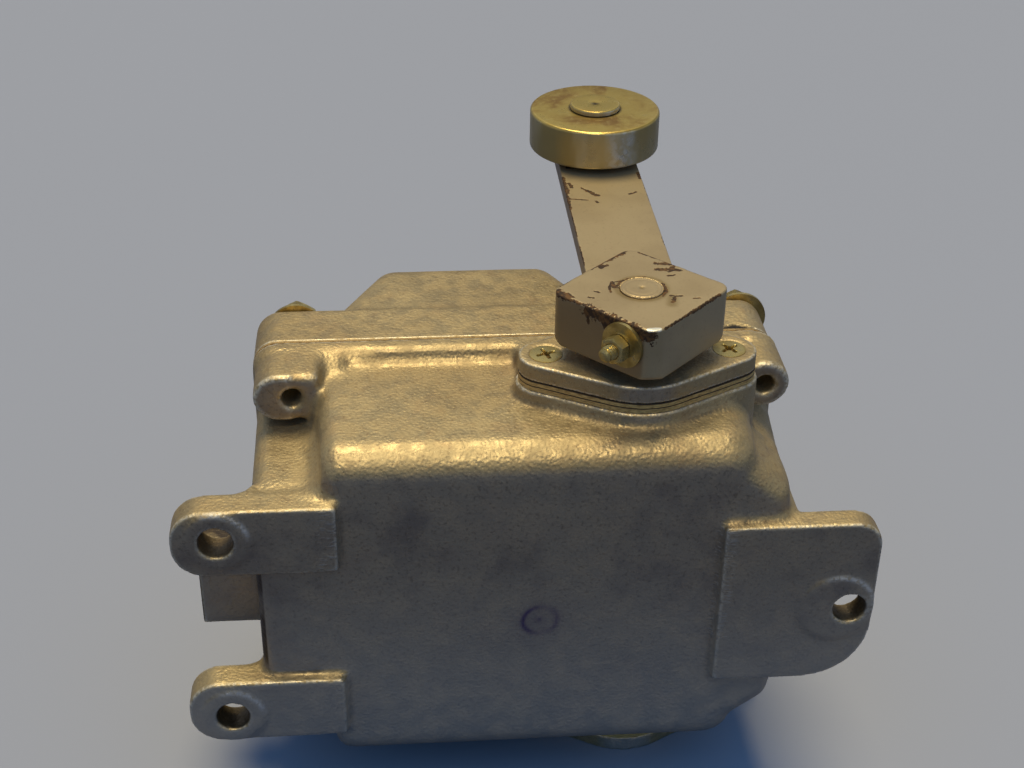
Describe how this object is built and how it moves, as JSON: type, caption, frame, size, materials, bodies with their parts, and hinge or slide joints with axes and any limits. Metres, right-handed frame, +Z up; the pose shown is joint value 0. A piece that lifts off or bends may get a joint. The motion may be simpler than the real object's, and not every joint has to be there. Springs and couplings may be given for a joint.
{
  "type": "crane limit switch",
  "caption": "Lever-and-roller position limit switch: flanged cast housing on three mounting lugs, bolted rear cover with a hump, cable-entry block, clamped swivelling roller lever.",
  "frame": {"origin": "on the shaft axis, at the underside of the bottom flange, where the switch stands", "axes": "+Z up along the shaft; the mounting lugs face -Y; the bolted cover and the lever at rest point to +Y; the cable entry faces -X"},
  "size_m": [0.2294, 0.1949, 0.1916],
  "materials": {
    "enamel": "cast iron and plate steel under bronze-coloured hammered enamel, chipped at the edges",
    "gasket": "pressed fibre and rubber sheet, dull",
    "zinc": "zinc-plated steel, slightly yellowed",
    "bronze": "turned bearing bronze",
    "rubber": "moulded nitrile rubber",
    "steel": "turned and ground steel",
    "moulding": "dark thermoset moulding",
    "brass": "stamped brass",
    "roller": "turned steel with an olive-gold plating, worn on the rim"
  },
  "bodies": {
    "case": {"housing": "enamel", "cover": "enamel", "cover_gasket": "gasket", "cover_bolts": "zinc", "cover_spring_washers": "zinc", "cover_washers": "zinc", "bearing_flange": "enamel", "flange_gasket": "gasket", "flange_screws": "zinc", "bottom_flange": "enamel", "bottom_gasket": "gasket", "bottom_screws": "zinc", "upper_bearing": "bronze", "lower_bearing": "bronze", "shaft_seal": "rubber", "spring_post": "steel", "return_spring": "steel", "contact_block": "moulding", "block_screws": "zinc", "terminal_screws": "brass", "pivot_pin": "steel", "earth_screw": "zinc", "fixed_contact_1": "brass", "fixed_contact_2": "brass", "fixed_contact_3": "brass", "fixed_contact_4": "brass", "lever_spring_1": "steel", "lever_spring_2": "steel"},
    "lever": {"shaft": "steel", "lever_hub": "enamel", "lever_arm": "enamel", "cotter_pin": "zinc", "cotter_washer": "zinc", "cotter_spring_washer": "zinc", "cotter_nut": "zinc", "roller_pin": "steel", "roller_washer": "zinc", "cam_lower": "steel", "cam_upper": "steel", "cam_spacers": "steel", "stack_ring": "steel", "spring_dog": "steel"},
    "roller": {"roller": "roller", "roller_bush": "bronze"},
    "lower_contact": {"contact_lever_1": "moulding", "contact_bridge_1": "brass"},
    "upper_contact": {"contact_lever_2": "moulding", "contact_bridge_2": "brass"}
  },
  "joints": [
    {"name": "lever_turn", "type": "hinge", "parent": "case", "child": "lever", "pos_m": [0, 0, 0.1], "axis": [0, 0, 1], "range_deg": [-45, 45], "stiffness_Nm_per_rad": 1.5, "deforming": ["return_spring"]},
    {"name": "roller_spin", "type": "hinge", "parent": "lever", "child": "roller", "pos_m": [0, 0.128, 0.181], "axis": [0, 0, 1], "continuous": true},
    {"name": "lower_contact_turn", "type": "hinge", "parent": "case", "child": "lower_contact", "pos_m": [-0.01985, -0.019, 0.0635], "axis": [0, 0, 1], "range_deg": [-9.1, 9.1], "deforming": ["lever_spring_1"]},
    {"name": "upper_contact_turn", "type": "hinge", "parent": "case", "child": "upper_contact", "pos_m": [-0.01985, -0.019, 0.0905], "axis": [0, 0, 1], "range_deg": [-9.1, 9.1], "deforming": ["lever_spring_2"]}
  ],
  "couplings": [
    {"joint": "upper_contact_turn", "follows": "lever_turn", "ratio": 0.20104},
    {"joint": "lower_contact_turn", "follows": "lever_turn", "ratio": -0.20104}
  ]
}
